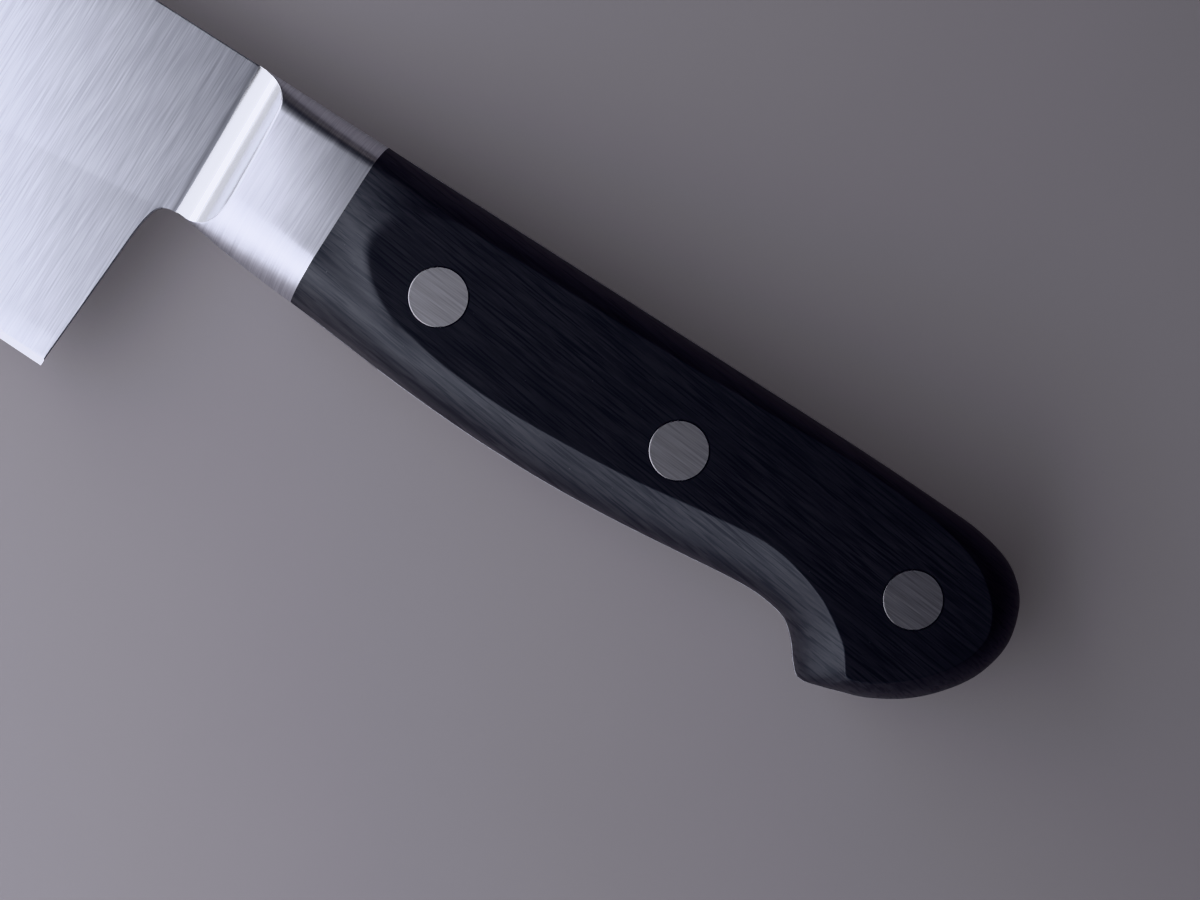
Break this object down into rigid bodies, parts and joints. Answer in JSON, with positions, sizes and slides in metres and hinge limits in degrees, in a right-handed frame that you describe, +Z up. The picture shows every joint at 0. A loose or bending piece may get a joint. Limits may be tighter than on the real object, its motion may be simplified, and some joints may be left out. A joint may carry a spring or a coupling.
{
  "type": "chef knife",
  "caption": "Western-handled chef knife: long flat-ground steel blade, welded bolster, black riveted handle with a hooked butt.",
  "frame": {"origin": "middle of the knife's bounding box in plan, on the plane of the lower flat side of the handle that it lies on", "axes": "+X from the butt toward the tip of the blade, +Y from the spine toward the cutting edge, +Z up through the thickness, from the right side of the knife to the left"},
  "size_m": [0.3674, 0.049, 0.018],
  "materials": {
    "blade_steel": "brushed across the blade from spine to edge, satin",
    "bolster_steel": "brushed sides, polished neck fillet",
    "rivet_steel": "ground flush, fine lengthwise brushing",
    "handle_wood": "black resin-filled laminated wood, satin, fine lengthwise grain"
  },
  "bodies": {
    "root": {"blade": "blade_steel", "bolster_left": "bolster_steel", "bolster_right": "bolster_steel", "scale_left": "handle_wood", "scale_right": "handle_wood", "rivet_front_female": "rivet_steel", "rivet_front_male": "rivet_steel", "rivet_middle_female": "rivet_steel", "rivet_middle_male": "rivet_steel", "rivet_rear_female": "rivet_steel", "rivet_rear_male": "rivet_steel"}
  },
  "joints": []
}
